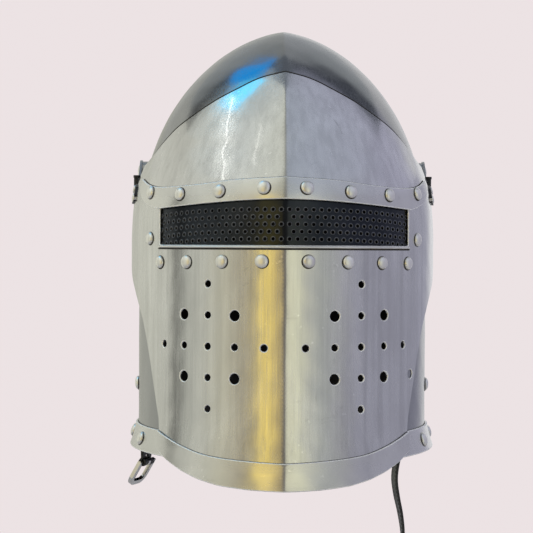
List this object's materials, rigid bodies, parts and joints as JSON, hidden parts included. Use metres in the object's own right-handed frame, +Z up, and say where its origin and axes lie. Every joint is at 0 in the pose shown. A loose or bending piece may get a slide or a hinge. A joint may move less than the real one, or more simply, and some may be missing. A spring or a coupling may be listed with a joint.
{
  "type": "knight helmet",
  "caption": "Steel ridged helmet with a lifting visor, perforated sight and breath holes, laced leather liner and buckled chin strap.",
  "frame": {"origin": "where the crown of the wearer's head meets the leather liner, on the helmet's centre line", "axes": "+Z up, -Y the way the wearer faces, +X to the wearer's left"},
  "size_m": [0.2382, 0.2898, 0.488],
  "materials": {
    "skull_steel": "polished, with a soft ridge and dark reflections",
    "visor_steel": "satin, brushed upright, faint scratches",
    "band_steel": "satin with polished edges",
    "rivet_steel": "polished domes with grime round the edge",
    "hinge_steel": "dark oiled steel",
    "pin_black": "blackened, satin",
    "screen_black": "black, semi-gloss",
    "liner_leather": "brown, matt, padded",
    "strap_leather": "black, slightly glossy",
    "lace_cord": "waxed cord, matt",
    "buckle_nickel": "nickel plate"
  },
  "bodies": {
    "helm": {"skull_shell": "skull_steel", "rim_band": "band_steel", "rim_rivets": "rivet_steel", "strap_rivets": "rivet_steel", "pivot_spacer_right": "hinge_steel", "pivot_spacer_left": "hinge_steel", "pivot_packing_right": "strap_leather", "pivot_packing_left": "strap_leather", "pivot_stud_right": "rivet_steel", "pivot_stud_left": "rivet_steel", "pivot_nut_right": "band_steel", "pivot_nut_left": "band_steel", "liner_band": "liner_leather", "liner_rivets": "rivet_steel", "liner_lobe_1": "liner_leather", "liner_lobe_2": "liner_leather", "liner_lobe_3": "liner_leather", "liner_lobe_4": "liner_leather", "liner_lobe_5": "liner_leather", "liner_lobe_6": "liner_leather", "liner_lobe_7": "liner_leather", "liner_lobe_8": "liner_leather", "crown_lace": "lace_cord"},
    "visor": {"visor_plate": "visor_steel", "brow_band": "band_steel", "chin_band": "band_steel", "sight_screen": "screen_black", "sight_rivets": "rivet_steel", "hinge_leaf_right": "hinge_steel", "hinge_leaf_left": "hinge_steel", "leaf_rivets_right": "rivet_steel", "leaf_rivets_left": "rivet_steel", "pivot_arm_right": "hinge_steel", "pivot_arm_left": "hinge_steel"},
    "pin_right": {"hinge_pin_right": "pin_black"},
    "pin_left": {"hinge_pin_left": "pin_black"},
    "chin_strap": {"chin_strap": "strap_leather"},
    "buckle_tab": {"buckle_tab": "strap_leather"},
    "buckle_frame": {"buckle_frame": "buckle_nickel"},
    "buckle_prong": {"buckle_prong": "buckle_nickel"}
  },
  "joints": [
    {"name": "visor_lift", "type": "hinge", "parent": "helm", "child": "visor", "pos_m": [0, 0.025, -0.07], "axis": [-1, 0, 0], "range_deg": [0, 75]},
    {"name": "pin_right_pull", "type": "slide", "parent": "visor", "child": "pin_right", "axis": [0, 0, 1], "range_m": [0, 0.04]},
    {"name": "pin_left_pull", "type": "slide", "parent": "visor", "child": "pin_left", "axis": [0, 0, 1], "range_m": [0, 0.04]},
    {"name": "chin_strap_swing", "type": "hinge", "parent": "helm", "child": "chin_strap", "pos_m": [0.1073, -0.008, -0.2365], "axis": [1, 0, 0], "range_deg": [-20, 20]},
    {"name": "buckle_tab_swing", "type": "hinge", "parent": "helm", "child": "buckle_tab", "pos_m": [-0.1073, -0.008, -0.2365], "axis": [1, 0, 0], "range_deg": [-5, 20]},
    {"name": "buckle_swing", "type": "hinge", "parent": "buckle_tab", "child": "buckle_frame", "pos_m": [-0.1052, -0.012, -0.2975], "axis": [0.4067, 0.9135, 0], "range_deg": [-60, 20]},
    {"name": "prong_swing", "type": "hinge", "parent": "buckle_frame", "child": "buckle_prong", "pos_m": [-0.1052, -0.012, -0.2975], "axis": [0.4067, 0.9135, 0], "range_deg": [0, 40]}
  ]
}
